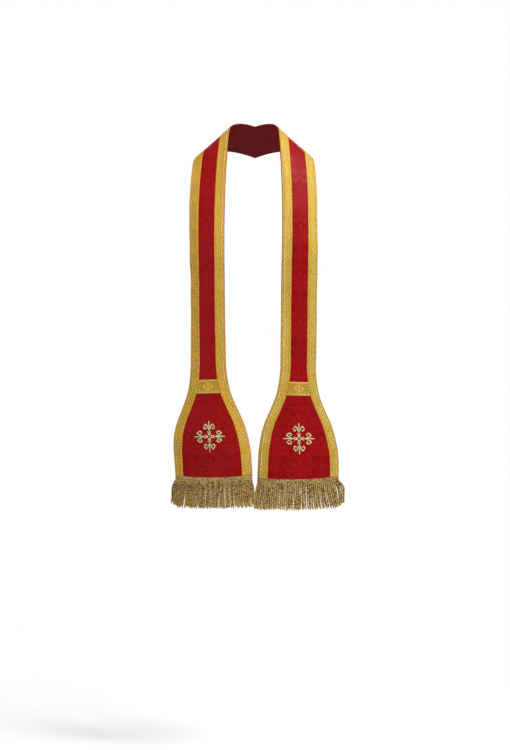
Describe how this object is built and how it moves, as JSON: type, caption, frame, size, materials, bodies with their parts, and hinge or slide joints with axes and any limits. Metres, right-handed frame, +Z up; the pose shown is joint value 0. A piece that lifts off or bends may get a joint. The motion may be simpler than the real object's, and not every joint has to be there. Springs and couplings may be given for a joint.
{
  "type": "roman stole",
  "caption": "Worn narrow stole of red damask with gold galloon edges, spade-shaped ends, embroidered crosses and bullion fringe.",
  "frame": {"origin": "the nape: middle of the centre-back seam, on the side of the band that touches the wearer", "axes": "+Z up, the wearer faces -Y, +X towards the wearer's left shoulder"},
  "size_m": [0.4099, 0.2454, 0.9309],
  "materials": {
    "damask": "silky tone-on-tone damask",
    "lining": "plain satin",
    "galloon": "woven metallic-thread braid",
    "embroidery": "satin-stitched pale gold thread",
    "bullion": "twisted antique-gold cord"
  },
  "bodies": {
    "root": {"face_left": "damask", "face_right": "damask", "lining_left": "lining", "lining_right": "lining", "galloon_outer_left": "galloon", "galloon_outer_right": "galloon", "galloon_inner_left": "galloon", "galloon_inner_right": "galloon", "crossbar_left": "galloon", "crossbar_right": "galloon", "cross_left": "embroidery", "cross_right": "embroidery", "fringe_heading_left": "bullion", "fringe_heading_right": "bullion", "fringe_left": "bullion", "fringe_right": "bullion"}
  },
  "joints": []
}
